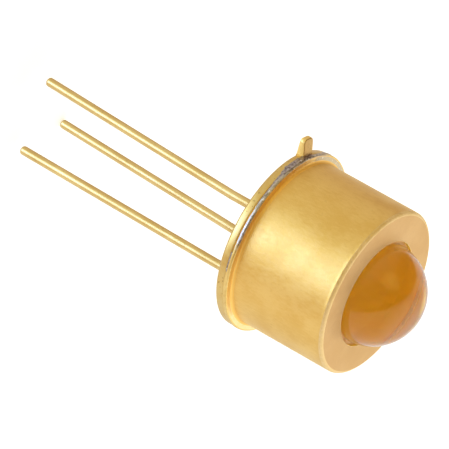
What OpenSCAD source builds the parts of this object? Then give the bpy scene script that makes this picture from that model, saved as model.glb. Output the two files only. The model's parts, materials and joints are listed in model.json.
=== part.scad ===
// Ultraviolet LED in a gold-plated three-lead metal can with a ball lens.
// Millimetres. The origin is the centre of the seating plane under the header flange,
// +Z runs along the optical axis to the lens, and the leads hang below the seating plane.

/* [Header] */
// Diameter of the header flange
flange_d = 9.15; // [8.8:0.05:9.4]
// Thickness of the sheet that the header is drawn from
sheet_t = 0.45; // [0.3:0.01:0.5]
// Rounding of the flange's lower outer edge
flange_edge_r = 0.15; // [0.05:0.01:0.25]
// Clearance between the platform and the inside of the can
platform_gap = 0.3; // [0.1:0.01:0.4]
// Height of the platform's top above the seating plane
platform_h = 1.45; // [1.1:0.05:2]
// Rounding of the platform's upper edge
platform_edge_r = 0.2; // [0.05:0.01:0.4]
// Diameter of the holes that let the two insulated leads through the platform
lead_hole_d = 1.15; // [0.8:0.05:1.3]

/* [Index tab] */
// Direction of the index tab, as an angle about the optical axis
tab_angle = 225; // [0:15:345]
// Width of the index tab
tab_w = 0.72; // [0.6:0.02:0.86]
// Reach of the index tab beyond the flange
tab_len = 0.82; // [0.74:0.01:1.14]
// Thickness of the index tab at its outer end
tab_end_t = 0.26; // [0.15:0.01:0.3]
// Rounding of the tab's outer corners
tab_corner_r = 0.2; // [0.05:0.01:0.3]

/* [Leads] */
// Diameter of the circle that the leads stand on
lead_circle_d = 5.08; // [4.6:0.02:5.2]
// Diameter of a lead
lead_d = 0.45; // [0.4:0.01:0.54]
// Length of the anode lead below the seating plane
anode_len = 13.25; // [6:0.05:20]
// Length of the cathode lead below the seating plane
cathode_len = 13.55; // [6:0.05:20]
// Length of the case lead below the seating plane
case_len = 14; // [6:0.05:20]
// Angle that the anode lead has been bent off square
anode_lean = 2.2; // [0:0.1:6]
// Direction that the anode lead leans to
anode_lean_to = 192; // [0:1:359]
// Angle that the cathode lead has been bent off square
cathode_lean = 0.7; // [0:0.1:6]
// Direction that the cathode lead leans to
cathode_lean_to = 202; // [0:1:359]
// Angle that the case lead has been bent off square
case_lean = 2.1; // [0:0.1:6]
// Direction that the case lead leans to
case_lean_to = 205; // [0:1:359]
// Straight length of each lead below the seating plane, which goes through a board square
lead_root = 1.8; // [0.2:0.05:3]
// Radius of each bend, along the middle of the lead
bend_r = 2; // [1:0.1:4]
// Rounding of the lead tips
tip_r = 0.14; // [0.02:0.01:0.18]
// Height of the two bonding posts above the platform
post_h = 0.45; // [0.2:0.05:1]

/* [Cap] */
// Outside diameter of the can
can_d = 8.4; // [8.3:0.05:8.6]
// Height of the cap, from under its flange to its front face
cap_h = 5.42; // [5:0.02:7]
// Thickness of the cap's sheet
cap_t = 0.18; // [0.15:0.01:0.3]
// Diameter of the cap's weld flange
cap_flange_d = 9.2; // [9.1:0.02:9.4]
// Rounding of the cap flange's upper edge
cap_rim_r = 0.08; // [0.03:0.01:0.12]
// Fillet between the can and its flange
cap_fillet_r = 0.15; // [0.05:0.01:0.2]
// Rounding of the can's front edge, outside
cap_edge_r = 0.2; // [0.1:0.01:0.5]
// Rounding of the can's front edge, inside
cap_bend_r = 0.06; // [0.03:0.01:0.3]

/* [Weld] */
// Gap between the two flanges that the weld fills
weld_t = 0.05; // [0.02:0.01:0.15]
// Outside diameter of the weld ring
weld_d = 8.95; // [8.8:0.05:9.1]
// Width of the weld ring across its section
weld_w = 0.35; // [0.15:0.05:0.5]

/* [Lens] */
// Diameter of the ball lens
lens_d = 5.1; // [4.8:0.02:5.3]
// Gap between the ball and the edge of the aperture in the front face
lens_gap = 0.16; // [0.05:0.01:0.3]
// Depth of the ball's centre below the front face
lens_drop = 0.22; // [0:0.02:0.4]
// Depth of the lens seal's top below the front face
seal_sink = 0.13; // [0.02:0.01:0.2]
// Reach of the lens seal under the front wall, beyond the aperture
seal_lap = 0.35; // [0.1:0.05:0.5]
// Height of the lens seal below the front wall
seal_h = 0.45; // [0.2:0.05:0.8]

/* [Emitter] */
// Side of the square submount
submount_w = 1.8; // [1.4:0.05:2.2]
// Thickness of the submount
submount_t = 0.38; // [0.2:0.02:0.6]
// Thickness of the bond pads on the submount
pad_t = 0.03; // [0.02:0.01:0.06]
// Margin of bare ceramic round the bond pads
pad_margin = 0.12; // [0.05:0.01:0.2]
// Gap between the two bond pads
pad_gap = 0.16; // [0.1:0.02:0.3]
// Side of the square emitter chip
chip_w = 0.8; // [0.5:0.05:1]
// Thickness of the emitter chip
chip_t = 0.2; // [0.1:0.02:0.4]
// Bevel round the chip's upper edge
chip_bevel = 0.05; // [0.02:0.01:0.08]
// Diameter of a bond wire
wire_d = 0.05; // [0.03:0.005:0.06]
// Diameter of a bond wire's flattened ends
bond_d = 0.16; // [0.1:0.01:0.2]
// Thickness of a bond wire's flattened ends
bond_t = 0.06; // [0.05:0.01:0.1]
// Arc that each bond wire bends through
wire_arc = 110; // [60:5:150]

/* [Hidden] */
$fn = 96;
// Length by which a cutter passes the face that it opens
cut_over = 0.2;

// Standard places of the leads, counted round from the index tab
anode_at = tab_angle + 45;
cathode_at = tab_angle + 135;
case_at = tab_angle + 225;

can_r = can_d / 2;
can_inner_r = can_r - cap_t;

flange_r = flange_d / 2;
platform_r = can_inner_r - platform_gap;
glass_r = platform_r - sheet_t;
glass_h = platform_h - sheet_t;
lead_r = lead_d / 2;
lead_ring_r = lead_circle_d / 2;
post_top = platform_h + post_h;

cap_z = sheet_t + weld_t;
front_z = cap_z + cap_h;
lens_r = lens_d / 2;
aperture_r = lens_r + lens_gap;
lens_z = front_z - lens_drop;

pads_z = platform_h + submount_t;
pad_top = pads_z + pad_t;
pad_area_w = submount_w - 2 * pad_margin;
pad_w = (pad_area_w - pad_gap) / 2;
// The submount is turned so that its two pads lie beside their own posts
emitter_turn = tab_angle - 180;
// Each wire lands between the chip and the pad's outer edge, on the corner next to its post
landing_x = (chip_w / 2 + submount_w / 2 - pad_margin) / 2;
landing_y = -pad_area_w / 4;

gold = [0.86, 0.68, 0.36];
pale_gold = [0.9, 0.76, 0.46];
wire_gold = [0.95, 0.75, 0.3];
weld_grey = [0.55, 0.53, 0.52];
base_glass_grey = [0.24, 0.27, 0.28];
seal_brown = [0.45, 0.33, 0.2];
lens_clear = [0.85, 0.88, 0.9, 0.4];
ceramic_white = [0.88, 0.88, 0.84];
chip_clear = [0.65, 0.72, 0.8];

// A flat corner piece between two edges that meet at the origin, hollowed by a round of radius r.
// Cut from a convex corner it rounds it, and added to a concave one it fills it.
module corner_piece(r) {
    difference() {
        square(r);
        translate([r, r]) circle(r);
    }
}

// Places its children at a point on the lead circle.
module on_lead_circle(at) {
    rotate(at) translate([lead_ring_r, 0, 0]) rotate(-at) children();
}

// Half section of the header: the flange, the drawn wall and the platform over them.
module header_section() {
    difference() {
        union() {
            translate([glass_r, 0]) square([flange_r - glass_r, sheet_t]);
            translate([glass_r, 0]) square([platform_r - glass_r, platform_h]);
            translate([0, glass_h]) square([platform_r, sheet_t]);
        }
        translate([flange_r, 0]) mirror([1, 0]) corner_piece(flange_edge_r);
        translate([platform_r, platform_h]) rotate(180) corner_piece(platform_edge_r);
    }
}

// Plan of the index tab along +X, with its outer corners rounded.
module tab_plan() {
    tab_end = flange_r + tab_len;
    difference() {
        translate([platform_r, -tab_w / 2]) square([tab_end - platform_r, tab_w]);
        for (side = [0, 1])
            mirror([0, side]) translate([tab_end, tab_w / 2]) rotate(180) corner_piece(tab_corner_r);
    }
}

// The tab thins from the flange to its outer end.
module index_tab() {
    tab_end = flange_r + tab_len;
    intersection() {
        linear_extrude(sheet_t) tab_plan();
        translate([0, tab_w / 2, 0]) rotate([90, 0, 0]) linear_extrude(tab_w)
            polygon([
                [platform_r, 0], [tab_end, 0], [tab_end, tab_end_t],
                [flange_r, sheet_t], [platform_r, sheet_t],
            ]);
    }
}

// Drawn sheet header with its flange, index tab and the holes for the insulated leads.
module header() {
    color(gold) difference() {
        union() {
            rotate_extrude() header_section();
            rotate(tab_angle) index_tab();
        }
        for (at = [anode_at, cathode_at])
            on_lead_circle(at) translate([0, 0, glass_h - cut_over])
                cylinder(d = lead_hole_d, h = sheet_t + 2 * cut_over);
    }
}

// Glass that fills the header from below and stands up into the two lead holes.
module base_glass() {
    color(base_glass_grey) difference() {
        union() {
            cylinder(r = glass_r, h = glass_h);
            for (at = [anode_at, cathode_at])
                on_lead_circle(at) translate([0, 0, glass_h]) cylinder(d = lead_hole_d, h = sheet_t);
        }
        for (at = [anode_at, cathode_at, case_at])
            on_lead_circle(at) translate([0, 0, -cut_over])
                cylinder(r = lead_r, h = platform_h + 2 * cut_over);
    }
}

// Straight round wire hanging from the origin, with a rounded tip.
module wire_end(length) {
    translate([0, 0, -length]) rotate_extrude() difference() {
        square([lead_r, length]);
        translate([lead_r, 0]) mirror([1, 0]) corner_piece(tip_r);
    }
}

// A lead that runs straight through the seating plane, then bends to lean towards one side.
module lead(at, top, length, lean, lean_to) {
    bend_len = bend_r * lean * PI / 180;
    on_lead_circle(at) rotate(lean_to) translate([0, 0, -lead_root]) {
        cylinder(r = lead_r, h = lead_root + top);
        if (lean > 0)
            translate([bend_r, 0, 0]) rotate([-90, 0, 180])
                rotate_extrude(angle = lean) translate([bend_r, 0]) circle(lead_r);
        translate([bend_r * (1 - cos(lean)), 0, -bend_r * sin(lean)]) rotate([0, -lean, 0])
            wire_end(length - lead_root - bend_len);
    }
}

module anode_lead() {
    color(pale_gold) lead(anode_at, post_top, anode_len, anode_lean, anode_lean_to);
}

module cathode_lead() {
    color(pale_gold) lead(cathode_at, post_top, cathode_len, cathode_lean, cathode_lean_to);
}

// The case lead stops under the platform, where it is welded to the header.
module case_lead() {
    color(pale_gold) lead(case_at, glass_h, case_len, case_lean, case_lean_to);
}

// Ceramic block that carries the chip on the platform.
module submount() {
    color(ceramic_white) rotate(emitter_turn)
        translate([-submount_w / 2, -submount_w / 2, platform_h])
            cube([submount_w, submount_w, submount_t]);
}

// Two gold pads under the chip, one for each pole.
module bond_pads() {
    color(wire_gold) rotate(emitter_turn)
        for (side = [0, 1])
            mirror([side, 0, 0]) translate([pad_gap / 2, -pad_area_w / 2, pads_z])
                cube([pad_w, pad_area_w, pad_t]);
}

// Emitter chip, face down across the two pads, with a bevel round its upper edge.
module led_chip() {
    bevel_line = chip_w / 2 - chip_bevel;
    chip_side = [
        [-chip_w / 2, 0], [chip_w / 2, 0], [chip_w / 2, chip_t - chip_bevel],
        [bevel_line, chip_t], [-bevel_line, chip_t], [-chip_w / 2, chip_t - chip_bevel],
    ];
    color(chip_clear) rotate(emitter_turn) translate([0, 0, pad_top])
        intersection() {
            for_side(0) polygon(chip_side);
            for_side(90) polygon(chip_side);
        }
}

// Stands a flat outline up, turns it and runs it across the chip.
module for_side(turn) {
    rotate(turn) translate([0, chip_w / 2, 0]) rotate([90, 0, 0]) linear_extrude(chip_w) children();
}

// A wire that arches from one landing to another, with a flattened bond at each end.
module bond_wire(from, to) {
    run = to - from;
    flat_run = norm([run.x, run.y]);
    chord = norm(run);
    arc_r = chord / (2 * sin(wire_arc / 2));
    for (end = [from, to]) translate(end) cylinder(d = bond_d, h = bond_t);
    translate(from + [0, 0, bond_t / 2])
        rotate([0, -atan2(run.z, flat_run), atan2(run.y, run.x)])
            translate([chord / 2, 0, -arc_r * cos(wire_arc / 2)]) rotate([90, 0, 0])
                rotate(90 - wire_arc / 2)
                    rotate_extrude(angle = wire_arc) translate([arc_r, 0]) circle(d = wire_d);
}

// Top of the post that a lead makes inside the can.
function post(at) = [lead_ring_r * cos(at), lead_ring_r * sin(at), post_top];

// Landing place of a wire on its pad; side is -1 for the anode and 1 for the cathode.
function landing(side) = [
    side * landing_x * cos(emitter_turn) - landing_y * sin(emitter_turn),
    side * landing_x * sin(emitter_turn) + landing_y * cos(emitter_turn),
    pad_top,
];

module anode_bond_wire() {
    color(wire_gold) bond_wire(landing(-1), post(anode_at));
}

module cathode_bond_wire() {
    color(wire_gold) bond_wire(landing(1), post(cathode_at));
}

// Half section of the drawn cap: flange, fillet, wall, rounded front edge and apertured front.
module cap_section() {
    difference() {
        union() {
            square([can_r, cap_h]);
            square([cap_flange_d / 2, cap_t]);
            translate([can_r, cap_t]) corner_piece(cap_fillet_r);
        }
        translate([can_r, cap_h]) rotate(180) corner_piece(cap_edge_r);
        translate([cap_flange_d / 2, cap_t]) rotate(180) corner_piece(cap_rim_r);
        difference() {
            translate([0, -cut_over]) square([can_inner_r, cap_h - cap_t + cut_over]);
            translate([can_inner_r, cap_h - cap_t]) rotate(180) corner_piece(cap_bend_r);
        }
        square([aperture_r, cap_h + cut_over]);
    }
}

module cap() {
    color(gold) translate([0, 0, cap_z]) rotate_extrude() cap_section();
}

// Ring of weld metal that joins the header flange to the cap flange.
module weld_ring() {
    color(weld_grey) translate([0, 0, sheet_t]) rotate_extrude()
        translate([weld_d / 2 - weld_w, 0]) square([weld_w, weld_t]);
}

module ball_lens() {
    color(lens_clear) translate([0, 0, lens_z]) sphere(lens_r);
}

// Solder glass that holds the ball in the aperture and laps under the front wall.
module lens_seal() {
    wall_z = front_z - cap_t;
    color(seal_brown) rotate_extrude() difference() {
        union() {
            translate([0, wall_z - seal_h]) square([aperture_r + seal_lap, seal_h]);
            translate([0, wall_z - seal_h]) square([aperture_r, seal_h + cap_t - seal_sink]);
        }
        translate([0, lens_z]) circle(lens_r);
    }
}

header();
base_glass();
anode_lead();
cathode_lead();
case_lead();
submount();
bond_pads();
led_chip();
anode_bond_wire();
cathode_bond_wire();
cap();
weld_ring();
ball_lens();
lens_seal();
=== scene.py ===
"""Looks of an ultraviolet LED: a gold-plated metal can with a ball lens, on three leads.

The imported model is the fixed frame. The pieces that show are modelled again on it with finer
surfaces, then dressed, lit and seen from the photograph's angle. Lengths are metres, and MM turns
millimetres into them. The optical axis is +Z, and the seating plane is z = 0.
"""

import json
import logging
import math
from collections.abc import Callable, Iterator
from contextlib import contextmanager
from dataclasses import dataclass, field
from enum import Enum
from functools import partial
from typing import Any, Protocol

import bmesh
import bpy
from bpy.types import Material, NodeSocket, NodeTree, Object
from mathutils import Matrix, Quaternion, Vector


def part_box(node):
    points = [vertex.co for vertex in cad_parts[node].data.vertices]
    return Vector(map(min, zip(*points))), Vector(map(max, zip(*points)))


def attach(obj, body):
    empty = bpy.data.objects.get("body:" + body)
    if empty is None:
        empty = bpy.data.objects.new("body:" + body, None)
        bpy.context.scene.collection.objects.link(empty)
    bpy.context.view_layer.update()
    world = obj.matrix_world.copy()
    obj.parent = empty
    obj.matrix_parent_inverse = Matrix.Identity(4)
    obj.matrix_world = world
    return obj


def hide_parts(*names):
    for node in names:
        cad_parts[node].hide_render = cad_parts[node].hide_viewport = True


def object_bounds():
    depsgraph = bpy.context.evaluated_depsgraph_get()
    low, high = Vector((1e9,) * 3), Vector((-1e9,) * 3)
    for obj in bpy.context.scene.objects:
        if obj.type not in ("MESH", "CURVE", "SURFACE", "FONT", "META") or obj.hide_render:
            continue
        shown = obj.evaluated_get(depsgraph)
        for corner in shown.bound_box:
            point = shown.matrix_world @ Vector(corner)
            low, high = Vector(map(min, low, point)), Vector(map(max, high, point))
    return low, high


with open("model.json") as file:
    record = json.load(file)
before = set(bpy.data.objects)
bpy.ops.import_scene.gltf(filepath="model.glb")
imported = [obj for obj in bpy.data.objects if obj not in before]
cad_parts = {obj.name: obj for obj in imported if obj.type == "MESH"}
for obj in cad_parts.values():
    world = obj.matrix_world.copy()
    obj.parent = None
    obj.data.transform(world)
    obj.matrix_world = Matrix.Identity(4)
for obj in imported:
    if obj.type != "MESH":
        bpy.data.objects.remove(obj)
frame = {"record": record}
CAD_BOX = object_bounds()

MM = 0.001
SIDES = 160
# Distance up to which two places count as one
NEAR = 0.004 * MM
WELD_DISTANCE = 0.0005 * MM
# Least upright share of the normal of a level face
LEVEL = 0.99
# Turn between two faces, in degrees, up to which they are shaded as one
SMOOTH_ANGLE = 32.0
WHITE = (1.0, 1.0, 1.0, 1.0)
SOFT = {"interpolation_type": "SMOOTHSTEP"}
# Range that most of a noise lies in
NOISE_LOW, NOISE_HIGH = 0.3, 0.7
NOISE_SPAN = {**SOFT, "From Min": NOISE_LOW, "From Max": NOISE_HIGH}
NOISE_ROUGHNESS = 0.6
BODY = "root"

log = logging.getLogger("ultraviolet_led")

Test = Callable[[Vector, Vector], bool]
Colour = tuple[float, float, float, float]
Span = tuple[float, float]
Size = tuple[float, float, float]
Settings = dict[str | int, Any]
Links = dict[str | int, NodeSocket]
Sockets = dict[str, NodeSocket]
Outputs = bpy.types.bpy_prop_collection
Adder = Callable[[str, Settings, Links], Outputs]


class Pick(Enum):
    """What an edit-mode selection is made of."""

    VERTS = "VERT"
    EDGES = "EDGE"
    FACES = "FACE"


class Boolean(Enum):
    """What a tool does to the piece that it meets."""

    JOIN = "UNION"
    CUT = "DIFFERENCE"


def linear(code: str) -> Colour:
    """Turns an sRGB hex colour into linear light.

    Args:
        code: Six hex digits after a hash, such as "#E0B060".

    Returns:
        Red, green, blue and an alpha of 1, in linear light.
    """
    shares = [int(code[i : i + 2], 16) / 255 for i in (1, 3, 5)]
    red, green, blue = (s / 12.92 if s <= 0.04045 else ((s + 0.055) / 1.055) ** 2.4 for s in shares)
    return red, green, blue, 1.0


def direction(azimuth: float, elevation: float) -> Vector:
    """Gives the unit vector for an azimuth from +X and an elevation, both in degrees."""
    turn, rise = math.radians(azimuth), math.radians(elevation)
    return Vector((math.cos(turn) * math.cos(rise), math.sin(turn) * math.cos(rise), math.sin(rise)))


def add_node(tree: NodeTree, kind: str, settings: Settings, links: Links) -> Outputs:
    """Adds one node with its settings and incoming links.

    Args:
        tree: Node tree that takes the node.
        kind: Blender's name for the node, without ShaderNode.
        settings: Node properties and input values, by name or by input number. "stops" fills a ramp.
        links: Sockets of other nodes, by the name or number of the input that they feed.

    Returns:
        The outputs of the new node.
    """
    node = tree.nodes.new(f"ShaderNode{kind}")
    for key, value in settings.items():
        if key == "stops":
            ramp = node.color_ramp.elements
            while len(ramp) < len(value):
                ramp.new(1.0)
            for element, (place, colour) in zip(ramp, value):
                element.position, element.color = place, colour
        elif isinstance(key, str) and hasattr(node, key):
            setattr(node, key, value)
        else:
            node.inputs[key].default_value = value
    for key, socket in links.items():
        tree.links.new(socket, node.inputs[key])
    return node.outputs


def start_nodes(owner: Material | bpy.types.World) -> Adder:
    """Empties the node tree of a material or a world.

    Args:
        owner: New material or world.

    Returns:
        Function that adds a node to the tree, from its kind, settings and links.
    """
    owner.use_nodes = True
    owner.node_tree.nodes.clear()
    return partial(add_node, owner.node_tree)


def share_towards(add: Adder, way: NodeSocket, axis: Vector, limits: Span) -> NodeSocket:
    """Adds the nodes that say how much a direction leans to an axis.

    Args:
        add: Function that adds a node to the tree.
        way: Socket of the direction.
        axis: Unit vector of the axis.
        limits: Cosines of the angles from the axis where the share begins and where it is full.

    Returns:
        Socket of the share, which eases from 0 to 1.
    """
    lean = add("VectorMath", {"operation": "DOT_PRODUCT", 1: axis}, {0: way})["Value"]
    ease = {**SOFT, "From Min": limits[0], "From Max": limits[1]}
    return add("MapRange", ease, {"Value": lean})[0]


def cosines(wide: float, narrow: float) -> Span:
    """Gives the cosines of two angles in degrees."""
    return math.cos(math.radians(wide)), math.cos(math.radians(narrow))


def activate(piece: Object) -> None:
    """Selects one object alone and makes it the active one.

    Args:
        piece: Object that the next operator acts on.
    """
    bpy.ops.object.select_all(action="DESELECT")
    piece.select_set(True)
    bpy.context.view_layer.objects.active = piece


@contextmanager
def editing(piece: Object) -> Iterator[None]:
    """Holds a piece in edit mode for the length of a with block.

    Args:
        piece: Object that is edited.
    """
    activate(piece)
    bpy.ops.object.mode_set(mode="EDIT")
    yield
    bpy.ops.object.mode_set(mode="OBJECT")


def pick(kind: Pick, test: Test, sharp: float = 0.0) -> int:
    """Selects, in edit mode, only what passes a test of its place and normal.

    Args:
        kind: Vertices, edges or faces. An edge passes if both its ends do.
        test: Takes a place and a normal, and says whether that is wanted.
        sharp: Least angle between an edge's faces, in degrees.

    Returns:
        How many were selected.
    """
    bpy.ops.mesh.select_mode(type=kind.value)
    bpy.ops.mesh.select_all(action="DESELECT")
    mesh = bpy.context.object.data
    shape = bmesh.from_edit_mesh(mesh)
    shape.normal_update()
    if kind is Pick.FACES:
        wanted = [f for f in shape.faces if test(f.calc_center_median(), f.normal)]
    elif kind is Pick.EDGES:
        wanted = [e for e in shape.edges if all(test(v.co, v.normal) for v in e.verts)]
        wanted = [e for e in wanted if e.calc_face_angle(math.pi) >= math.radians(sharp)]
    else:
        wanted = [v for v in shape.verts if test(v.co, v.normal)]
    for element in wanted:
        element.select_set(True)
    shape.select_flush_mode()
    bmesh.update_edit_mesh(mesh)
    return len(wanted)


def on_ring(radius: float, height: float) -> Test:
    """Makes a test that passes points on one ring round the optical axis."""
    return lambda at, _: abs(at.xy.length - radius) < NEAR and abs(at.z - height) < NEAR


def facing(way: float, height: float) -> Test:
    """Makes a test that passes level faces at one height that look up (1) or down (-1)."""
    return lambda at, normal: normal.z * way > LEVEL and abs(at.z - height) < NEAR


def looks_in(at: Vector, normal: Vector) -> bool:
    """Says whether a face of the can looks down or to the axis."""
    return normal.z < -0.5 or normal.xy.dot(at.xy) < -0.5 * at.xy.length


def round_ring(radius: float, height: float, rounding: float, segments: int) -> None:
    """Bevels the edge that runs round the axis at one place.

    Args:
        radius: Radius of the edge.
        height: Height of the edge.
        rounding: Radius of the rounding or fillet.
        segments: Faces across the rounding.
    """
    pick(Pick.EDGES, on_ring(radius, height))
    bpy.ops.mesh.bevel(offset=rounding, segments=segments, affect="EDGES")


def score(place: Size, normal: Size) -> None:
    """Cuts new edges all round the mesh along a plane, in edit mode."""
    bpy.ops.mesh.select_all(action="SELECT")
    bpy.ops.mesh.bisect(plane_co=place, plane_no=normal)


def settle(piece: Object, name: str) -> Object:
    """Names a piece and moves its place, turn and scale into its mesh.

    Args:
        piece: Object that is settled.
        name: Name of the object and of its mesh.

    Returns:
        The same object.
    """
    piece.name = piece.data.name = name
    activate(piece)
    bpy.ops.object.transform_apply(location=True, rotation=True, scale=True)
    return piece


def add_cylinder(
    name: str, radius: float, low: float, high: float, sides: int = SIDES, at: Vector | None = None
) -> Object:
    """Adds an upright cylinder, to be shaped further.

    Args:
        name: Name of the piece.
        radius: Radius of the cylinder.
        low: Height of its lower end.
        high: Height of its upper end.
        sides: Faces round it.
        at: Point that its axis goes through, or the optical axis if there is none.

    Returns:
        The new object, at the origin with its place in its mesh.
    """
    x, y = at.xy if at else (0.0, 0.0)
    middle = (x, y, (low + high) / 2)
    bpy.ops.mesh.primitive_cylinder_add(vertices=sides, radius=radius, depth=high - low, location=middle)
    return settle(bpy.context.object, name)


def apply_modifier(piece: Object, kind: str, **settings: Any) -> None:
    """Adds a modifier and applies it at once.

    Args:
        piece: Object that is changed.
        kind: Blender's name for the modifier.
        **settings: Properties of the modifier.
    """
    activate(piece)
    modifier = piece.modifiers.new(kind.lower(), kind)
    for key, value in settings.items():
        setattr(modifier, key, value)
    bpy.ops.object.modifier_apply(modifier=modifier.name)


def combine(piece: Object, tool: Object, act: Boolean) -> None:
    """Joins a tool to a piece or cuts it out, and removes the tool.

    Args:
        piece: Object that is changed.
        tool: Object that is joined to it or cut from it.
        act: Whether the tool is joined or cut.
    """
    apply_modifier(piece, "BOOLEAN", operation=act.value, solver="EXACT", object=tool)
    bpy.data.objects.remove(tool)


def smooth(piece: Object) -> None:
    """Shades a piece smooth, with flat faces kept flat beside roundings.

    Args:
        piece: Object that is shaded.
    """
    activate(piece)
    bpy.ops.object.shade_smooth_by_angle(angle=math.radians(SMOOTH_ANGLE))
    apply_modifier(piece, "WEIGHTED_NORMAL", keep_sharp=True)


def paint(piece: Object, material: Material, test: Test) -> None:
    """Gives another finish to some faces of a piece.

    Args:
        piece: Dressed object.
        material: Finish of those faces.
        test: Takes the place and normal of a face, and says whether it is one of them.
    """
    piece.data.materials.append(material)
    index = len(piece.data.materials) - 1
    for face in piece.data.polygons:
        if test(face.center, face.normal):
            face.material_index = index


def dress(piece: Object, material: Material, node: str) -> None:
    """Gives a piece its main finish and its place in the object.

    Args:
        piece: Finished mesh object.
        material: Finish of all its faces.
        node: CAD node that the piece stands for.
    """
    piece.data.materials.clear()
    piece.data.materials.append(material)
    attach(piece, BODY)
    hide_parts(node)
    log.info("%s stands for %s with %d faces", piece.name, node, len(piece.data.polygons))


def mount(name: str) -> dict[str, Any]:
    """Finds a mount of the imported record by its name."""
    return next(m for m in frame["record"]["mounts"] if m["name"] == name)


def ball() -> Span:
    """Gives the radius of the ball lens and the height of its centre."""
    low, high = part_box("ball_lens")
    return (high.z - low.z) / 2, (high.z + low.z) / 2


@dataclass(frozen=True)
class Grain:
    """Noise whose grains have a real size.

    Attributes:
        size: Size of a grain along X, Y and Z, in millimetres.
        detail: Octaves of finer noise in it.
    """

    size: Size
    detail: float


@dataclass(frozen=True)
class Finish:
    """A material that is built from nodes.

    Attributes:
        name: Name of the real material.
    """

    name: str

    def make(self) -> Material:
        """Builds the material, as each kind of finish does in its own way."""
        raise NotImplementedError

    def as_field(self) -> Any:
        """Gives a dataclass field that holds the material."""
        return field(default_factory=self.make)

    def start(self, grains: dict[str, Grain]) -> tuple[Material, Adder, Sockets]:
        """Makes a material that has only its noises.

        Args:
            grains: The noises, by name.

        Returns:
            The material, the function that adds a node to it, and the sockets of the noises and of
            "place", by name.
        """
        material = bpy.data.materials.new(self.name)
        add = start_nodes(material)
        place = add("TexCoord", {}, {})["Object"]
        sockets = {"place": place}
        for name, grain in grains.items():
            scale = tuple(1 / (length * MM) for length in grain.size)
            spread = add("Mapping", {"Scale": scale}, {"Vector": place})[0]
            settings = {"Scale": 1.0, "Detail": grain.detail, "Roughness": NOISE_ROUGHNESS}
            sockets[name] = add("TexNoise", settings, {"Vector": spread})["Fac"]
        return material, add, sockets

    def close(self, add: Adder, settings: Settings, links: Links) -> None:
        """Adds the shader and the output."""
        shader = add("BsdfPrincipled", settings, links)
        add("OutputMaterial", {}, {"Surface": shader[0]})


@dataclass(frozen=True)
class GoldPlate(Finish):
    """Electroplated gold: warm yellow with fine lines, faint blotches and small pits.

    Attributes:
        deep: Colour where the plating is thin and orange.
        pale: Colour where it is thick and yellow.
        roughness: Lowest and highest roughness.
        line: Size of a fine line along X, Y and Z, in millimetres.
        depth: Depth of the lines and of the plated grain, in millimetres.
        pits: How strongly small dark pits show, from 0 to 1.
        blotch: Size of a blotch, in millimetres.
        grain: Size of the plated grain, in millimetres.
        pit: Size of the noise that the pits are the peaks of, in millimetres.
        pit_peaks: Values of that noise where a pit begins and where it is deepest.
        tones: Range of lines and blotches together.
        pit_colour: Colour in a pit.
    """

    deep: str
    pale: str
    roughness: Span
    line: Size
    depth: float
    pits: float
    blotch: float = 1.8
    grain: float = 0.05
    pit: float = 0.16
    pit_peaks: Span = (0.66, 0.74)
    tones: Span = (0.7, 1.3)
    pit_colour: str = "#6B4A20"

    def make(self) -> Material:
        """Builds the material.

        Returns:
            The finished material.
        """
        grains = {
            "lines": Grain(self.line, 3.0),
            "blotch": Grain((self.blotch,) * 3, 2.0),
            "grain": Grain((self.grain,) * 3, 2.0),
            "pit": Grain((self.pit,) * 3, 1.0),
        }
        material, add, noise = self.start(grains)
        lines = noise["lines"]
        peaks = {**SOFT, "From Min": self.pit_peaks[0], "From Max": self.pit_peaks[1], "To Max": self.pits}
        pit = add("MapRange", peaks, {"Value": noise["pit"]})[0]
        tone = add("Math", {"operation": "ADD"}, {0: lines, 1: noise["blotch"]})[0]
        tones = {**SOFT, "From Min": self.tones[0], "From Max": self.tones[1]}
        tone = add("MapRange", tones, {"Value": tone})[0]
        tone = add("Math", {"operation": "SUBTRACT"}, {0: tone, 1: pit})[0]
        stops = [(0.0, linear(self.deep)), (1.0, linear(self.pale))]
        colour = add("ValToRGB", {"stops": stops}, {"Fac": tone})["Color"]
        dark = {"data_type": "RGBA", 7: linear(self.pit_colour)}
        colour = add("Mix", dark, {0: pit, 6: colour})[2]
        sheen = {**NOISE_SPAN, "To Min": self.roughness[0], "To Max": self.roughness[1]}
        rough = add("MapRange", sheen, {"Value": lines})[0]
        relief = add("Math", {"operation": "ADD"}, {0: lines, 1: noise["grain"]})[0]
        relief = add("Math", {"operation": "SUBTRACT"}, {0: relief, 1: pit})[0]
        bump = add("Bump", {"Distance": self.depth * MM}, {"Height": relief})[0]
        self.close(add, {"Metallic": 1.0}, {"Base Color": colour, "Roughness": rough, "Normal": bump})
        return material


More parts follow.
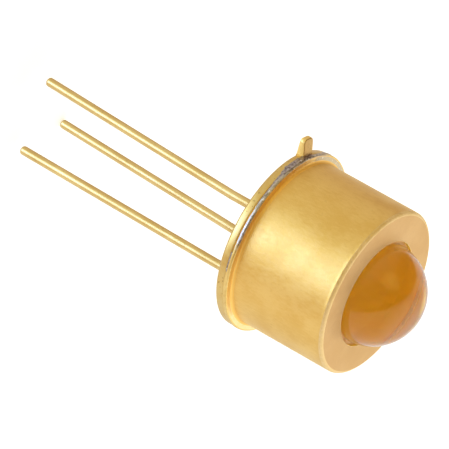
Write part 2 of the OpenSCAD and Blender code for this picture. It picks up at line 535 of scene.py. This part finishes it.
@dataclass(frozen=True)
class BurntEdgeAndReflection(Finish):
    """Weld edge: grey alloy with dark scale where the weld burnt the gold off, gold elsewhere; on the flange
    top the grey is a painted reflection.

    Attributes:
        burns_and_reflections: Azimuth of the middle and half width of each burnt stretch and of each painted
            reflection, in degrees.
        gold: Colour of the gold between them where it is thin.
        pale: Colour of the gold where it is thick.
        dark: Colour of the scale, and of the darker grey where the stretch is a painted reflection.
        bright: Colour of the bare alloy, and of the lighter grey where the stretch is a painted reflection.
        spark: Colour of the brightest specks.
        speck: Size of a speck along X, Y and Z, in millimetres.
        ragged: Size of the ragged ends of a burn along X, Y and Z, in millimetres.
        levels: Values of the speck noise that show scale, bare alloy and spark.
        full: Share of a stretch's half width that is burnt all over.
        bare: Values of burn and raggedness together where the gold begins to go and where it is gone.
        roughness: Lowest and highest roughness.
        depth: Depth of the specks, in millimetres.
    """

    burns_and_reflections: tuple[Span, ...]
    gold: str
    pale: str
    dark: str
    bright: str
    spark: str = "#F1EFEC"
    speck: Size = (0.16, 0.16, 0.1)
    ragged: Size = (0.5, 0.5, 0.25)
    levels: Size = (0.35, 0.62, 0.72)
    full: float = 0.6
    bare: Span = (0.6, 1.25)
    roughness: Span = (0.28, 0.5)
    depth: float = 0.006

    def make(self) -> Material:
        """Builds the material.

        Returns:
            The finished material.
        """
        grains = {"speck": Grain(self.speck, 3.0), "ragged": Grain(self.ragged, 2.0)}
        material, add, noise = self.start(grains)
        speck, ragged = noise["speck"], noise["ragged"]
        way = add("VectorMath", {"operation": "MULTIPLY", 1: (1, 1, 0)}, {0: noise["place"]})[0]
        way = add("VectorMath", {"operation": "NORMALIZE"}, {0: way})[0]
        # The stretches are burnt alloy on the rim and the weld, and a painted reflection on the flange top
        burnt, *others = [
            share_towards(add, way, direction(azimuth, 0), cosines(half, self.full * half))
            for azimuth, half in self.burns_and_reflections
        ]
        for other in others:
            burnt = add("Math", {"operation": "MAXIMUM"}, {0: burnt, 1: other})[0]
        burnt = add("Math", {"operation": "ADD"}, {0: burnt, 1: ragged})[0]
        bare = {**SOFT, "From Min": self.bare[0], "From Max": self.bare[1]}
        burnt = add("MapRange", bare, {"Value": burnt})[0]
        tones = [linear(code) for code in (self.dark, self.bright, self.spark)]
        stops = list(zip(self.levels, tones))
        grey = add("ValToRGB", {"stops": stops}, {"Fac": speck})["Color"]
        stops = [(NOISE_LOW, linear(self.gold)), (NOISE_HIGH, linear(self.pale))]
        plate = add("ValToRGB", {"stops": stops}, {"Fac": ragged})["Color"]
        colour = add("Mix", {"data_type": "RGBA"}, {0: burnt, 6: plate, 7: grey})[2]
        sheen = {**NOISE_SPAN, "To Min": self.roughness[0], "To Max": self.roughness[1]}
        rough = add("MapRange", sheen, {"Value": speck})[0]
        bump = add("Bump", {"Distance": self.depth * MM}, {"Height": speck})[0]
        self.close(add, {"Metallic": 1.0}, {"Base Color": colour, "Roughness": rough, "Normal": bump})
        return material


@dataclass(frozen=True)
class Glass(Finish):
    """Glass or ceramic with a smooth surface and a faint haze in patches.

    Attributes:
        thin: Colour in the clear patches.
        thick: Colour in the hazy patches.
        ior: Index of refraction.
        clear: Share of light that goes through.
        roughness: Roughness where the surface is clean and where it is hazy.
        patch: Size of a patch, in millimetres.
        shine: Colour of its reflections, which a coating tints.
        hazy: Values of the noise where a hazy patch begins and where it is full.
    """

    thin: str
    thick: str
    ior: float
    clear: float
    roughness: Span
    patch: float
    shine: str = "#FFFFFF"
    hazy: Span = (0.4, 0.7)

    def make(self) -> Material:
        """Builds the material.

        Returns:
            The finished material.
        """
        material, add, noise = self.start({"patches": Grain((self.patch,) * 3, 3.0)})
        hazy = {**SOFT, "From Min": self.hazy[0], "From Max": self.hazy[1]}
        haze = add("MapRange", hazy, {"Value": noise["patches"]})[0]
        stops = [(0.0, linear(self.thin)), (1.0, linear(self.thick))]
        colour = add("ValToRGB", {"stops": stops}, {"Fac": haze})["Color"]
        sheen = {**SOFT, "To Min": self.roughness[0], "To Max": self.roughness[1]}
        rough = add("MapRange", sheen, {"Value": haze})[0]
        settings = {"IOR": self.ior, "Transmission Weight": self.clear, "Specular Tint": linear(self.shine)}
        self.close(add, settings, {"Base Color": colour, "Roughness": rough})
        return material


@dataclass(frozen=True)
class Palette:
    """Every finish of the object, made once."""

    # Satin gold of the can, with fine strokes along its side
    can: Material = GoldPlate(
        "satin gold plate", "#E3BA65", "#F0CD7F", (0.42, 0.55), (0.13, 0.13, 0.32), 0.005, 0.05
    ).as_field()
    # Matt gold of the front face, paler and pinker than the can's side
    front: Material = GoldPlate(
        "matt gold plate", "#D3AD75", "#DBB881", (0.55, 0.65), (0.2, 0.2, 0.2), 0.0006, 0.05
    ).as_field()
    # Gold of the front edge, rough and finely dented, whose pale colour is a painted highlight along the edge
    edge: Material = GoldPlate(
        "gold plate with painted highlight on front edge", "#EED294", "#F8E0AE", (0.62, 0.72), (0.15, 0.15, 0.15), 0.014, 0.1
    ).as_field()
    # Orange gold of the drawn corner between the flange and the side, painted lighter than the can's gold:
    # painted light
    corner: Material = GoldPlate(
        "gold plate painted lighter on drawn corner", "#F8C868", "#FCD47A", (0.5, 0.6), (0.3, 0.3, 0.05), 0.001, 0.0
    ).as_field()
    # Bright gold on the tab beyond the flange, lighter than the header's gold: a painted highlight
    tab_highlight: Material = GoldPlate(
        "gold plate with painted highlight on tab", "#F8D886", "#FDE298", (0.5, 0.6), (0.3, 0.3, 0.05), 0.001, 0.0
    ).as_field()
    # Bright gold inside the can, painted lighter and more saturated than the can's plating: painted light, so
    # that the light going round in it makes the lens look amber
    inside: Material = GoldPlate(
        "gold plate painted lighter inside the can", "#FDE452", "#FFE964", (0.45, 0.55), (0.14, 0.14, 0.5), 0.0004, 0.0
    ).as_field()
    # Near-white gold deep in the groove round the header: painted light in place of the groove's shade
    groove: Material = GoldPlate(
        "gold plate painted pale in the groove", "#FFF9D4", "#FFFBE0", (0.45, 0.55), (0.14, 0.14, 0.5), 0.0004, 0.0
    ).as_field()
    # Pale gold of the stamped header, with the small dark pits of its rim
    header: Material = GoldPlate(
        "gold plate on stamped sheet", "#D6B268", "#E0C480", (0.32, 0.44), (0.3, 0.3, 0.3), 0.0012, 0.4
    ).as_field()
    # Darker brown gold on the tab's upward face: painted shade
    tab_shade: Material = GoldPlate(
        "gold plate with painted shade on tab top", "#BC9658", "#CEAA6C", (0.35, 0.45), (0.2, 0.2, 0.2), 0.0012, 0.3
    ).as_field()
    # Smooth gold of the leads, with faint lines along the wire
    lead: Material = GoldPlate(
        "gold plate on drawn wire", "#D6B672", "#E8CE8E", (0.36, 0.44), (0.07, 0.07, 2.5), 0.0006, 0.15
    ).as_field()
    # Pure gold of the bond pads and wires
    bond: Material = GoldPlate(
        "pure gold", "#F0B850", "#FFCF68", (0.25, 0.35), (0.05, 0.05, 0.05), 0.0003, 0.0
    ).as_field()
    # Rim of the cap, with bare grey alloy where the weld took the gold off
    rim: Material = BurntEdgeAndReflection(
        "gold plate on iron-nickel-cobalt alloy", ((256.0, 56.0),), "#DEBC6E", "#ECCE84", "#8E8278", "#CEC4B8"
    ).as_field()
    # Top of the cap's flange, gold but for a pale grey end beside the tab, which is a painted reflection
    flange: Material = BurntEdgeAndReflection(
        "gold plate with painted reflection on flange", ((192.0, 34.0),), "#F2D490", "#F8DEA2", "#B8A688", "#C8B898"
    ).as_field()
    # Weld metal in the seam, with dark scale
    weld: Material = BurntEdgeAndReflection(
        "welded iron-nickel-cobalt alloy",
        ((236.0, 48.0), (312.0, 9.0)),
        "#DEBC6E",
        "#ECCE84",
        "#766868",
        "#B8ACAA",
    ).as_field()
    # Clear ball, whose coating warms its reflections
    lens: Material = Glass(
        "coated optical glass", "#FFFFFF", "#FFFCF6", 1.64, 1.0, (0.0, 0.06), 1.2, "#FFE6BC"
    ).as_field()
    # Amber ring round the ball
    seal: Material = Glass(
        "solder glass", "#DCA048", "#C88C38", 1.6, 0.2, (0.4, 0.55), 0.4, "#FFDC9C"
    ).as_field()
    # Dark glass that fills the header from below
    base: Material = Glass(
        "borosilicate sealing glass", "#3A4244", "#566064", 1.5, 0.0, (0.12, 0.3), 0.3
    ).as_field()
    # White ceramic block under the chip
    ceramic: Material = Glass(
        "aluminium nitride", "#E4E3DA", "#CFCDC4", 1.9, 0.0, (0.5, 0.65), 0.08
    ).as_field()
    # Clear chip
    chip: Material = Glass(
        "sapphire chip", "#C8D4E6", "#B4C4DA", 1.77, 0.6, (0.05, 0.15), 0.2
    ).as_field()


class SubAssembly(Protocol):
    """Piece or group of pieces that is built and dressed."""

    def finish(self, palette: Palette) -> None:
        """Builds and dresses it."""


@dataclass
class Cap:
    """Drawn can with a weld flange, a rounded front edge and the lens aperture."""

    sheet: float = 0.18 * MM
    front_rounding: float = 0.2 * MM
    inner_rounding: float = 0.06 * MM
    fillet: float = 0.15 * MM
    rim_rounding: float = 0.08 * MM
    rim_band: float = 0.048 * MM
    lens_gap: float = 0.16 * MM
    edge_break: float = 0.02 * MM
    draw_length: float = 0.14 * MM
    draw_depth: float = 0.014 * MM
    edge_slope: float = 0.2
    bend_slope: float = 0.01

    def draw_in_front(self, radius: float, top: float) -> None:
        """Draws the end of the side wall in a little, in edit mode, as a press tool leaves it.

        Args:
            radius: Radius of the side wall.
            top: Height of the front face.
        """
        end = top - self.front_rounding
        score((0, 0, end - self.draw_length), (0, 0, 1))
        pick(Pick.VERTS, on_ring(radius, end))
        narrow = 1 - self.draw_depth / radius
        bpy.ops.transform.resize(value=(narrow, narrow, 1), center_override=(0, 0, end))

    def build(self) -> Object:
        """Models the cap from a cylinder.

        Returns:
            The mesh object.
        """
        low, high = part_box("cap")
        radius = mount("can_barrel")["dims"]["r_mm"] * MM
        aperture = ball()[0] + self.lens_gap
        ledge = low.z + self.sheet
        piece = add_cylinder("can", radius, ledge, high.z)
        with editing(piece):
            pick(Pick.FACES, facing(-1, ledge))
            bpy.ops.mesh.delete(type="ONLY_FACE")
            pick(Pick.EDGES, on_ring(radius, ledge))
            bpy.ops.mesh.extrude_edges_move()
            reach = high.x / radius
            bpy.ops.transform.resize(value=(reach, reach, 1), center_override=(0, 0, ledge))
            pick(Pick.FACES, facing(1, high.z))
            bpy.ops.mesh.inset(thickness=radius - aperture)
            bpy.ops.mesh.delete(type="ONLY_FACE")
            bpy.ops.mesh.select_all(action="SELECT")
            bpy.ops.mesh.normals_make_consistent(inside=False)
            inward = pick(Pick.FACES, lambda at, normal: at.xy.dot(normal.xy) < -NEAR)
            bpy.ops.mesh.select_all(action="SELECT")
            if inward:
                bpy.ops.mesh.flip_normals()
        apply_modifier(piece, "SOLIDIFY", thickness=self.sheet, offset=-1.0, use_even_offset=True)
        with editing(piece):
            round_ring(radius, high.z, self.front_rounding, 10)
            round_ring(radius - self.sheet, high.z - self.sheet, self.inner_rounding, 4)
            round_ring(radius, ledge, self.fillet, 6)
            round_ring(high.x, ledge, self.rim_rounding, 5)
            round_ring(high.x, low.z, self.edge_break, 2)
            round_ring(aperture, high.z, self.edge_break, 2)
            self.draw_in_front(radius, high.z)
            score((0, 0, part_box("header")[1].z), (0, 0, 1))
        smooth(piece)
        return piece

    def finish(self, palette: Palette) -> None:
        """Builds the cap and gives its side, front, inside and rim their own finishes.

        Args:
            palette: Every finish of the object.
        """
        low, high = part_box("cap")
        piece = self.build()
        wall = mount("can_barrel")["dims"]["r_mm"] * MM - 0.5 * self.sheet
        edge, corner = high.z - self.front_rounding, low.z + self.sheet + self.fillet
        rim, groove = high.x - self.rim_band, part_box("header")[1].z
        dress(piece, palette.can, "cap")
        paint(piece, palette.front, lambda at, normal: at.z > high.z - NEAR and normal.z > LEVEL)
        # The front edge's pale gold is a painted highlight
        paint(piece, palette.edge, lambda at, normal: at.z > edge and self.edge_slope < normal.z < LEVEL)
        # The corner's lighter gold is painted light
        paint(piece, palette.corner, lambda at, normal: at.z < corner and self.bend_slope < normal.z < LEVEL)
        # The flange top's pale grey end is a painted reflection
        paint(piece, palette.flange, lambda at, normal: at.z < corner and normal.z > LEVEL)
        paint(piece, palette.rim, lambda at, _: at.xy.length > rim)
        # The inside's brighter gold is painted light
        paint(piece, palette.inside, lambda at, normal: at.xy.length < wall and looks_in(at, normal))
        # The groove's near-white gold is painted light in place of shade
        paint(piece, palette.groove, lambda at, _: at.xy.length < wall and at.z < groove)


@dataclass
class Header:
    """Drawn sheet header: flange, platform, hollow for the glass, index tab and lead holes."""

    sheet: float = 0.45 * MM
    flange_radius: float = 4.575 * MM
    flange_rounding: float = 0.15 * MM
    platform_radius: float = 3.72 * MM
    platform_rounding: float = 0.2 * MM
    hole_radius: float = 0.575 * MM
    hole_sides: int = 64
    lead_ring: float = 2.54 * MM
    # Directions of the two leads that glass insulates, in degrees from +X
    hole_angles: Span = (270.0, 0.0)
    tab_angle: float = 225.0
    tab_width: float = 0.72 * MM
    tab_length: float = 0.82 * MM
    tab_end: float = 0.26 * MM
    tab_rounding: float = 0.2 * MM
    tab_break: float = 0.05 * MM
    tab_foot: float = 0.05 * MM
    edge_break: float = 0.06 * MM
    tab_shade_slope: float = 0.6
    platform_slope: float = 0.97

    def build_tab(self) -> Object:
        """Models the index tab as a tapered block with rounded outer corners.

        Returns:
            The block, turned to its place.
        """
        inner, outer = self.platform_radius, self.flange_radius + self.tab_length
        bpy.ops.mesh.primitive_cube_add(size=1.0, location=((inner + outer) / 2, 0, self.sheet / 2))
        block = bpy.context.object
        block.scale = (outer - inner, self.tab_width, self.sheet)
        settle(block, "tab")
        with editing(block):
            score((self.flange_radius, 0, 0), (1, 0, 0))
            pick(Pick.FACES, lambda at, normal: normal.x > LEVEL)
            bpy.ops.transform.resize(value=(1, 1, self.tab_end / self.sheet), center_override=(outer, 0, 0))
            for side in (-1, 1):
                corner = side * self.tab_width / 2
                pick(Pick.EDGES, lambda at, _: at.x > outer - NEAR and abs(at.y - corner) < NEAR)
                bpy.ops.mesh.bevel(offset=self.tab_rounding, segments=6, affect="EDGES")
            pick(Pick.EDGES, lambda at, _: at.x > self.flange_radius - NEAR, sharp=40.0)
            bpy.ops.mesh.bevel(offset=self.tab_break, segments=3, affect="EDGES")
        block.rotation_euler.z = math.radians(self.tab_angle)
        return settle(block, "tab")

    def build(self) -> Object:
        """Models the header from a disc.

        Returns:
            The mesh object.
        """
        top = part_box("header")[1].z
        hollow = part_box("base_glass")[1].x
        piece = add_cylinder("header_shell", self.flange_radius, 0.0, self.sheet)
        with editing(piece):
            pick(Pick.FACES, facing(1, self.sheet))
            bpy.ops.mesh.inset(thickness=self.flange_radius - self.platform_radius)
            rise = {"value": (0, 0, top - self.sheet)}
            bpy.ops.mesh.extrude_region_move(TRANSFORM_OT_translate=rise)
            pick(Pick.FACES, facing(-1, 0.0))
            bpy.ops.mesh.inset(thickness=self.flange_radius - hollow)
            bpy.ops.mesh.extrude_region_move(TRANSFORM_OT_translate=rise)
            round_ring(self.flange_radius, 0.0, self.flange_rounding, 6)
            round_ring(self.flange_radius, self.sheet, self.edge_break, 5)
            round_ring(self.platform_radius, top, self.platform_rounding, 6)
        combine(piece, self.build_tab(), Boolean.JOIN)
        for angle in self.hole_angles:
            at = direction(angle, 0) * self.lead_ring
            drill = add_cylinder("drill", self.hole_radius, 0.5 * top, 1.5 * top, self.hole_sides, at)
            combine(piece, drill, Boolean.CUT)
        smooth(piece)
        return piece

    def finish(self, palette: Palette) -> None:
        """Builds the header and gives its platform and its tab their own finishes.

        Args:
            palette: Every finish of the object.
        """
        piece = self.build()
        rim, foot = self.flange_radius, self.flange_radius + self.tab_foot
        ledge, platform = self.sheet - NEAR, 2 * self.sheet
        dress(piece, palette.header, "header")
        # The tab's bright gold is a painted highlight
        paint(piece, palette.tab_highlight, lambda at, _: at.xy.length > foot)
        # The tab's darker brown top is painted shade
        paint(piece, palette.tab_shade, lambda at, normal: at.xy.length > foot and normal.z > self.tab_shade_slope)
        # The groove's near-white gold is painted light in place of shade
        paint(piece, palette.groove, lambda at, _: at.z > ledge and at.xy.length < rim)
        # The platform's brighter gold is painted light
        paint(piece, palette.inside, lambda at, normal: at.z > platform and normal.z > self.platform_slope)


@dataclass
class Lead:
    """Round lead that runs square through the seating plane and then bends off a little."""

    name: str
    node: str
    pin: str
    bend_radius: float = 2.0 * MM
    tip_rounding: float = 0.14 * MM
    sides: int = 40
    elbow_steps: int = 6

    def build(self) -> Object:
        """Models the lead from a cylinder that is drawn on along its bend.

        Returns:
            The mesh object.
        """
        pin = mount(self.pin)
        radius, straight = pin["dims"]["r_mm"] * MM, pin["dims"]["length_mm"] * MM
        axis = Vector(pin["axis"]).normalized()
        start = Vector(pin["pos_m"]) - axis * straight / 2
        lean, side = math.acos(-axis.z), math.atan2(axis.y, axis.x)
        root = start.z + self.bend_radius * math.sin(lean)
        shift = self.bend_radius * (1 - math.cos(lean))
        piece = add_cylinder(self.name, radius, root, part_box(self.node)[1].z, self.sides)
        pivot, step = (self.bend_radius, 0, root), lean / self.elbow_steps
        with editing(piece):
            pick(Pick.FACES, facing(-1, root))
            for _ in range(self.elbow_steps):
                bpy.ops.mesh.extrude_region_move()
                bpy.ops.transform.rotate(value=step, orient_axis="Y", center_override=pivot)
            run = Vector((math.sin(lean), 0, -math.cos(lean))) * (straight + self.tip_rounding)
            bpy.ops.mesh.extrude_region_move(TRANSFORM_OT_translate={"value": run})
            bpy.ops.mesh.region_to_loop()
            bpy.ops.mesh.bevel(offset=self.tip_rounding, segments=7, affect="EDGES")
        piece.rotation_euler.z = side
        piece.location = (start.x - shift * math.cos(side), start.y - shift * math.sin(side), 0)
        settle(piece, self.name)
        smooth(piece)
        return piece

    def finish(self, palette: Palette) -> None:
        """Builds the lead and dresses it."""
        dress(self.build(), palette.lead, self.node)


@dataclass
class BallLens:
    """Clear ball that is set into the aperture."""

    meridian: int = 96

    def build(self) -> Object:
        """Models the ball by spinning half a circle round the optical axis.

        Returns:
            The mesh object.
        """
        radius, height = ball()
        bpy.ops.mesh.primitive_circle_add(
            vertices=2 * self.meridian, radius=radius, location=(0, 0, height), rotation=(math.pi / 2, 0, 0)
        )
        piece = settle(bpy.context.object, "lens")
        with editing(piece):
            pick(Pick.VERTS, lambda at, _: at.x < -NEAR)
            bpy.ops.mesh.delete(type="VERT")
            bpy.ops.mesh.select_all(action="SELECT")
            bpy.ops.mesh.spin(steps=SIDES, angle=math.tau, center=(0, 0, height), axis=(0, 0, 1))
            bpy.ops.mesh.select_all(action="SELECT")
            bpy.ops.mesh.remove_doubles(threshold=WELD_DISTANCE)
            bpy.ops.mesh.normals_make_consistent(inside=False)
        activate(piece)
        bpy.ops.object.shade_smooth()
        return piece

    def finish(self, palette: Palette) -> None:
        """Builds the ball and dresses it."""
        dress(self.build(), palette.lens, "ball_lens")


@dataclass
class LensSeal:
    """Ring of solder glass between the ball and the front wall."""

    cap: Cap
    sink: float = 0.13 * MM
    lap: float = 0.35 * MM
    height: float = 0.45 * MM

    def build(self) -> Object:
        """Models the ring from a disc, and hollows it with the ball.

        Returns:
            The mesh object.
        """
        radius, centre = ball()
        wall = self.cap.sheet
        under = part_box("cap")[1].z - wall
        piece = add_cylinder("seal_ring", radius + self.cap.lens_gap + self.lap, under - self.height, under)
        with editing(piece):
            pick(Pick.FACES, facing(1, under))
            bpy.ops.mesh.inset(thickness=self.lap)
            rise = {"value": (0, 0, wall - self.sink)}
            bpy.ops.mesh.extrude_region_move(TRANSFORM_OT_translate=rise)
        bpy.ops.mesh.primitive_uv_sphere_add(
            segments=SIDES, ring_count=SIDES // 2, radius=radius, location=(0, 0, centre)
        )
        combine(piece, settle(bpy.context.object, "ball_cutter"), Boolean.CUT)
        smooth(piece)
        return piece

    def finish(self, palette: Palette) -> None:
        """Builds the ring and dresses it."""
        dress(self.build(), palette.seal, "lens_seal")


@dataclass(frozen=True)
class Flash:
    """Stretch of the weld where metal has come out of the seam.

    Attributes:
        azimuth: Middle of the stretch, in degrees from +X.
        half: Half of its width, in degrees.
        push: How far it comes out, in millimetres.
        spread: How far it climbs up and down the two edges, in millimetres.
    """

    azimuth: float
    half: float
    push: float
    spread: float

    def holds(self, at: Vector) -> bool:
        """Says whether a place lies within the stretch."""
        return at.xy.normalized().dot(direction(self.azimuth, 0).xy) > math.cos(math.radians(self.half))


@dataclass
class WeldRing:
    """Ring of weld metal between the flanges, with the flash that came out beside the tab."""

    width: float = 0.35 * MM
    sides: int = 360
    crease: float = 50.0
    flashes: tuple[Flash, ...] = (
        Flash(84.0, 126.0, 0.1, 0.0),
        Flash(250.0, 27.0, 0.06, 0.0),
        Flash(240.0, 22.0, 0.02, 0.012),
        Flash(239.0, 19.5, 0.015, 0.014),
        Flash(238.0, 17.0, 0.015, 0.014),
        Flash(236.0, 14.5, 0.015, 0.02),
        Flash(234.0, 12.0, 0.015, 0.02),
        Flash(240.0, 7.0, 0.02, 0.03),
        Flash(229.0, 6.0, 0.02, 0.03),
        Flash(248.0, 3.0, 0.03, 0.02),
        Flash(206.0, 8.0, 0.04, 0.02),
        Flash(312.5, 6.0, 0.1, 0.02),
    )

    def build(self) -> Object:
        """Models the ring from a disc, and draws the flash out of its edge.

        Returns:
            The mesh object.
        """
        low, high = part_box("weld_ring")
        outer, middle = high.x, (low.z + high.z) / 2
        inner = outer - self.width
        piece = add_cylinder("weld_seam", outer, low.z, high.z, self.sides)
        with editing(piece):
            for way, level in ((1, high.z), (-1, low.z)):
                pick(Pick.FACES, facing(way, level))
                bpy.ops.mesh.inset(thickness=self.width)
                bpy.ops.mesh.delete(type="ONLY_FACE")
            pick(Pick.EDGES, lambda at, _: abs(at.xy.length - inner) < NEAR)
            bpy.ops.mesh.bridge_edge_loops()
            score((0, 0, middle), (0, 0, 1))
            rim = outer - NEAR
            for flash in self.flashes:
                pick(Pick.VERTS, lambda at, _: at.xy.length > rim and flash.holds(at))
                out = 1 + flash.push * MM / outer
                bpy.ops.transform.resize(value=(out, out, 1), center_override=(0, 0, middle))
                for way in (-1, 1):
                    edge = way * middle + NEAR
                    pick(
                        Pick.VERTS,
                        lambda at, _: at.xy.length > rim and way * at.z > edge and flash.holds(at),
                    )
                    bpy.ops.transform.translate(value=(0, 0, way * flash.spread * MM))
        activate(piece)
        bpy.ops.object.shade_smooth_by_angle(angle=math.radians(self.crease))
        return piece

    def finish(self, palette: Palette) -> None:
        """Builds the ring and dresses it."""
        dress(self.build(), palette.weld, "weld_ring")


@dataclass
class BaseGlass:
    """Glass that fills the header, with a hollowed underside that climbs to the leads and the rim."""

    header: Header
    dish: float = 0.06 * MM
    climb: float = 0.35 * MM
    climb_rounding: float = 0.21 * MM

    def build(self) -> Object:
        """Models the filling from a disc, with a tube round each insulated lead.

        Returns:
            The mesh object.
        """
        header, high = self.header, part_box("base_glass")[1]
        floor = high.z - header.sheet
        piece = add_cylinder("glass_fill", high.x, 0.0, floor)
        with editing(piece):
            pick(Pick.FACES, facing(-1, 0.0))
            bpy.ops.mesh.inset(thickness=self.climb)
            bpy.ops.transform.translate(value=(0, 0, self.dish))
            bpy.ops.mesh.region_to_loop()
            bpy.ops.mesh.bevel(offset=self.climb_rounding, segments=6, affect="EDGES")
        for angle in header.hole_angles:
            at = direction(angle, 0) * header.lead_ring
            tube = add_cylinder("tube", header.hole_radius, 0.5 * floor, high.z, header.hole_sides, at)
            combine(piece, tube, Boolean.JOIN)
        smooth(piece)
        return piece

    def finish(self, palette: Palette) -> None:
        """Builds the filling and dresses it."""
        dress(self.build(), palette.base, "base_glass")


@dataclass
class Emitter:
    """Submount, pads, chip and bond wires, which keep their CAD shapes behind the lens."""

    def finish(self, palette: Palette) -> None:
        """Gives each CAD piece of the emitter its finish.

        Args:
            palette: Every finish of the object.
        """
        finishes = {"submount": palette.ceramic, "led_chip": palette.chip}
        finishes |= dict.fromkeys(("bond_pads", "anode_bond_wire", "cathode_bond_wire"), palette.bond)
        for node, material in finishes.items():
            piece = bpy.data.objects[node]
            piece.data.materials.clear()
            piece.data.materials.append(material)
            log.info("%s keeps its CAD shape", node)


@dataclass(frozen=True)
class SoftLight:
    """Round soft light in the surroundings.

    Attributes:
        azimuth: Direction from +X, in degrees.
        elevation: Height above the horizon, in degrees.
        core: Half width of its even middle, in degrees.
        edge: Half width where it ends, in degrees.
        level: Red, green and blue that it adds.
    """

    azimuth: float
    elevation: float
    core: float
    edge: float
    level: Size


@dataclass
class Studio:
    """Pale floor, white surroundings with a dim side and soft lights, and the photograph's camera."""

    aim: Size = (0.921 * MM, -0.775 * MM, -2.139 * MM)
    azimuth: float = 286.25
    elevation: float = 25.09
    roll: float = 119.46
    distance: float = 256.24 * MM
    lens: float = 439.9
    clip_start: float = 0.01
    floor_width: float = 1.2
    floor_colour: str = "#F2F2F2"
    floor_roughness: float = 0.9
    floor_lift: float = 0.48
    white_side: Size = (0.388, 0.898, 0.208)
    white_limits: Span = (0.04, 0.2)
    dim_low: str = "#CDB6A6"
    dim_far: str = "#FFF0D0"
    dim_high: str = "#AC9268"
    dim_far_place: float = 0.6
    dim_limits: Span = (-0.4, -0.06)
    lights: tuple[SoftLight, ...] = (
        # Cool bands along the gold
        SoftLight(297.0, -44.0, 8.0, 36.0, (1.35, 1.95, 1.9)),
        SoftLight(297.0, -39.0, 4.0, 17.0, (1.2, 2.0, 8.0)),
        SoftLight(238.0, -34.0, 15.0, 68.0, (0.28, 0.38, 0.38)),
        SoftLight(350.0, -32.0, 10.0, 45.0, (0.16, 0.13, 0.1)),
        # Patch and glint on the ball, and light on the front face
        SoftLight(236.0, 38.0, 2.0, 24.0, (1.2, 1.1, 0.35)),
        SoftLight(118.0, 13.0, 4.0, 13.0, (0.95, 0.8, 0.2)),
        SoftLight(82.0, 52.0, 12.0, 42.0, (0.6, 0.6, 0.6)),
    )
    all_bounces: int = 64
    bounces: int = 24

    def add_camera(self) -> None:
        """Places the camera at the photograph's angle, with its roll."""
        data = bpy.data.cameras.new("camera")
        camera = bpy.data.objects.new("camera", data)
        bpy.context.scene.collection.objects.link(camera)
        camera.location = direction(self.azimuth, self.elevation) * self.distance
        view = (Vector(self.aim) - camera.location).to_track_quat("-Z", "Y")
        camera.rotation_mode = "QUATERNION"
        camera.rotation_quaternion = view @ Quaternion((0, 0, 1), math.radians(self.roll))
        data.lens = self.lens
        data.clip_start = self.clip_start
        bpy.context.scene.camera = camera

    def add_floor(self) -> None:
        """Lays a pale matt floor under the tips of the leads."""
        bpy.ops.mesh.primitive_plane_add(size=self.floor_width, location=(0, 0, CAD_BOX[0].z))
        floor = settle(bpy.context.object, "floor")
        material = bpy.data.materials.new("matt white board")
        add = start_nodes(material)
        seen = add("LightPath", {}, {})["Is Camera Ray"]
        lift = add("Math", {"operation": "MULTIPLY", 1: self.floor_lift}, {0: seen})[0]
        board = {"Base Color": linear(self.floor_colour), "Roughness": self.floor_roughness}
        board["Emission Color"] = WHITE
        shader = add("BsdfPrincipled", board, {"Emission Strength": lift})
        below = add("NewGeometry", {}, {})["Backfacing"]
        gone = add("BsdfTransparent", {}, {})
        mix = add("MixShader", {}, {0: below, 1: shader[0], 2: gone[0]})
        add("OutputMaterial", {}, {"Surface": mix[0]})
        floor.data.materials.append(material)
        floor.visible_glossy = False

    def add_world(self) -> None:
        """Surrounds the scene with white that is dimmer and warmer on one side, and its soft lights."""
        world = bpy.data.worlds.new("white studio")
        bpy.context.scene.world = world
        add = start_nodes(world)
        way = add("TexCoord", {}, {})["Generated"]
        white = share_towards(add, way, Vector(self.white_side), self.white_limits)
        height = share_towards(add, way, Vector((0, 0, 1)), self.dim_limits)
        stops = [(0.0, linear(self.dim_low)), (self.dim_far_place, linear(self.dim_far))]
        stops.append((1.0, linear(self.dim_high)))
        dim = add("ValToRGB", {"stops": stops}, {"Fac": height})["Color"]
        sky = add("Mix", {"data_type": "RGBA", 7: WHITE}, {0: white, 6: dim})[2]
        path = add("LightPath", {}, {})
        shown = add("Math", {"operation": "SUBTRACT", 0: 1.0}, {1: path["Is Transmission Ray"]})[0]
        for light in self.lights:
            towards = direction(light.azimuth, light.elevation)
            share = share_towards(add, way, towards, cosines(light.edge, light.core))
            # Lights below the horizon serve the gold alone, so rays that went through glass miss them
            if light.elevation < 0:
                share = add("Math", {"operation": "MULTIPLY"}, {0: share, 1: shown})[0]
            glow = add("VectorMath", {"operation": "SCALE", 0: light.level}, {"Scale": share})[0]
            sky = add("VectorMath", {"operation": "ADD"}, {0: sky, 1: glow})[0]
        lit = add("Background", {}, {"Color": sky})
        plain = add("Background", {"Color": WHITE}, {})
        mix = add("MixShader", {}, {0: path["Is Camera Ray"], 1: lit[0], 2: plain[0]})
        add("OutputWorld", {}, {"Surface": mix[0]})

    def set_up(self) -> None:
        """Sets up the floor, the light, the camera and how light travels."""
        self.add_floor()
        self.add_world()
        self.add_camera()
        scene = bpy.context.scene
        scene.view_settings.view_transform = "Standard"
        # Light goes round many times inside the gold can before it leaves through the ball
        scene.cycles.blur_glossy = 0.0
        scene.cycles.max_bounces = self.all_bounces
        scene.cycles.glossy_bounces = self.bounces
        scene.cycles.diffuse_bounces = self.bounces
        scene.cycles.transmission_bounces = self.bounces


def main() -> None:
    """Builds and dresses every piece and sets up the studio."""
    logging.basicConfig(level=logging.INFO, format="%(name)s: %(message)s")
    palette = Palette()
    cap, header = Cap(), Header()
    pieces: list[SubAssembly] = [cap, header, BallLens(), LensSeal(cap)]
    pieces += [WeldRing(), BaseGlass(header), Emitter()]
    pieces += [Lead(f"{pole}_wire", f"{pole}_lead", f"{pole}_pin") for pole in ("anode", "cathode", "case")]
    for piece in pieces:
        piece.finish(palette)
    Studio().set_up()


if __name__ == "__main__":
    main()
